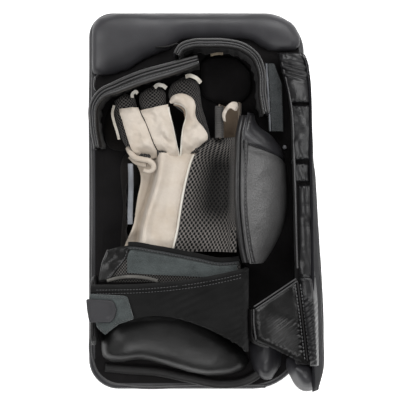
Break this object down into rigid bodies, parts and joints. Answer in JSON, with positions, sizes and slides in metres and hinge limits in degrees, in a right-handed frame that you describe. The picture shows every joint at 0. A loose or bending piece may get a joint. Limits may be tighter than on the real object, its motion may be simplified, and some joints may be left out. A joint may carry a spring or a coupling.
{
  "type": "ice hockey goalie blocker",
  "caption": "Right-hand ice hockey goalie blocker, palm side up: padded board with side board, bound finger guards, suede glove, thumb guard, wrist strap and pad.",
  "frame": {"origin": "centre of the board's flat front face, which the blocker lies on", "axes": "+Z from the front face towards the palm side; +Y along the board towards the fingertips; +X towards the thumb"},
  "size_m": [0.2405, 0.3825, 0.1049],
  "materials": {
    "leather": "satin",
    "gloss_leather": "gloss",
    "nylon": "matte",
    "lining": "matte",
    "suede": "matte",
    "spacer_mesh": "matte",
    "loop_fabric": "matte",
    "foam": "matte",
    "hdpe_sheet": "satin"
  },
  "bodies": {
    "board": {"board_cover": "leather", "board_stiffener": "hdpe_sheet", "board_foam": "foam", "board_back_cover": "nylon", "top_roll": "leather", "board_piping": "leather", "finger_guard_cover": "leather", "finger_guard_foam": "foam", "finger_guard_lining": "lining", "finger_guard_binding": "leather", "index_guard_cover": "leather", "index_guard_foam": "foam", "index_guard_lining": "lining", "index_guard_binding": "leather", "index_pocket_pad": "nylon", "knuckle_pad": "lining", "backhand_pad": "foam", "backhand_lining": "lining", "palm_leather": "suede", "pinkie_side_lining": "lining", "pinkie_side_webbing": "loop_fabric", "thumb_gusset": "spacer_mesh", "side_board_cover": "leather", "side_board_foam": "foam", "side_roll_top": "leather", "side_roll_upper": "leather", "side_roll_tuft": "leather", "side_roll_lower": "leather", "side_board_end": "leather", "wrap_patch": "gloss_leather", "wrist_pad": "gloss_leather", "cuff_flank": "leather", "cuff_gusset": "leather", "cuff_wing": "leather", "heel_band": "spacer_mesh", "heel_loop_panel": "loop_fabric", "heel_patch": "leather", "heel_binding": "leather"},
    "pinkie_finger": {"pinkie_stall": "suede", "pinkie_tip": "spacer_mesh", "pinkie_tip_loop": "suede"},
    "ring_finger": {"ring_stall": "suede", "ring_tip": "spacer_mesh", "ring_tip_loop": "suede"},
    "middle_finger": {"middle_stall": "suede", "middle_tip": "spacer_mesh", "middle_tip_loop": "suede"},
    "index_finger": {"index_stall": "suede", "index_rib": "spacer_mesh"},
    "thumb_guard": {"thumb_guard_shell": "leather", "thumb_guard_tip": "leather", "thumb_guard_foam": "foam", "thumb_guard_lining": "lining", "thumb_guard_binding": "leather"},
    "wrist_strap": {"wrist_strap": "nylon"},
    "strap_tab": {"strap_tab": "loop_fabric", "strap_pull": "leather"},
    "index_strap": {"index_strap": "nylon", "index_strap_hook": "loop_fabric"}
  },
  "joints": [
    {"name": "pinkie_curl", "type": "hinge", "parent": "board", "child": "pinkie_finger", "pos_m": [-0.0515, 0.046, 0.071], "axis": [0.9511, 0.309, 0], "range_deg": [0, 70], "stiffness_Nm_per_rad": 0.02},
    {"name": "ring_curl", "type": "hinge", "parent": "board", "child": "ring_finger", "pos_m": [-0.027, 0.0476, 0.071], "axis": [0.9703, 0.2419, 0], "range_deg": [0, 70], "stiffness_Nm_per_rad": 0.02},
    {"name": "middle_curl", "type": "hinge", "parent": "board", "child": "middle_finger", "pos_m": [-0.002, 0.05, 0.071], "axis": [0.989, 0.1478, 0], "range_deg": [0, 70], "stiffness_Nm_per_rad": 0.02},
    {"name": "index_curl", "type": "hinge", "parent": "board", "child": "index_finger", "pos_m": [0.0335, 0.063, 0.0685], "axis": [1, 0, 0], "range_deg": [0, 40], "stiffness_Nm_per_rad": 0.02},
    {"name": "thumb_guard_flex", "type": "hinge", "parent": "board", "child": "thumb_guard", "pos_m": [0.088, 0, 0.048], "axis": [0, 1, 0], "range_deg": [0, 10], "stiffness_Nm_per_rad": 0.2},
    {"name": "wrist_strap_open", "type": "hinge", "parent": "board", "child": "wrist_strap", "pos_m": [0.05, -0.106, 0.086], "axis": [0, 1, 0], "range_deg": [0, 110]},
    {"name": "strap_tab_peel", "type": "hinge", "parent": "wrist_strap", "child": "strap_tab", "pos_m": [-0.0608, -0.112, 0.0915], "axis": [0, 1, 0], "range_deg": [0, 90]},
    {"name": "index_strap_open", "type": "hinge", "parent": "board", "child": "index_strap", "pos_m": [0.08, 0.07, 0.046], "axis": [1, 0, 0], "range_deg": [0, 75]}
  ]
}
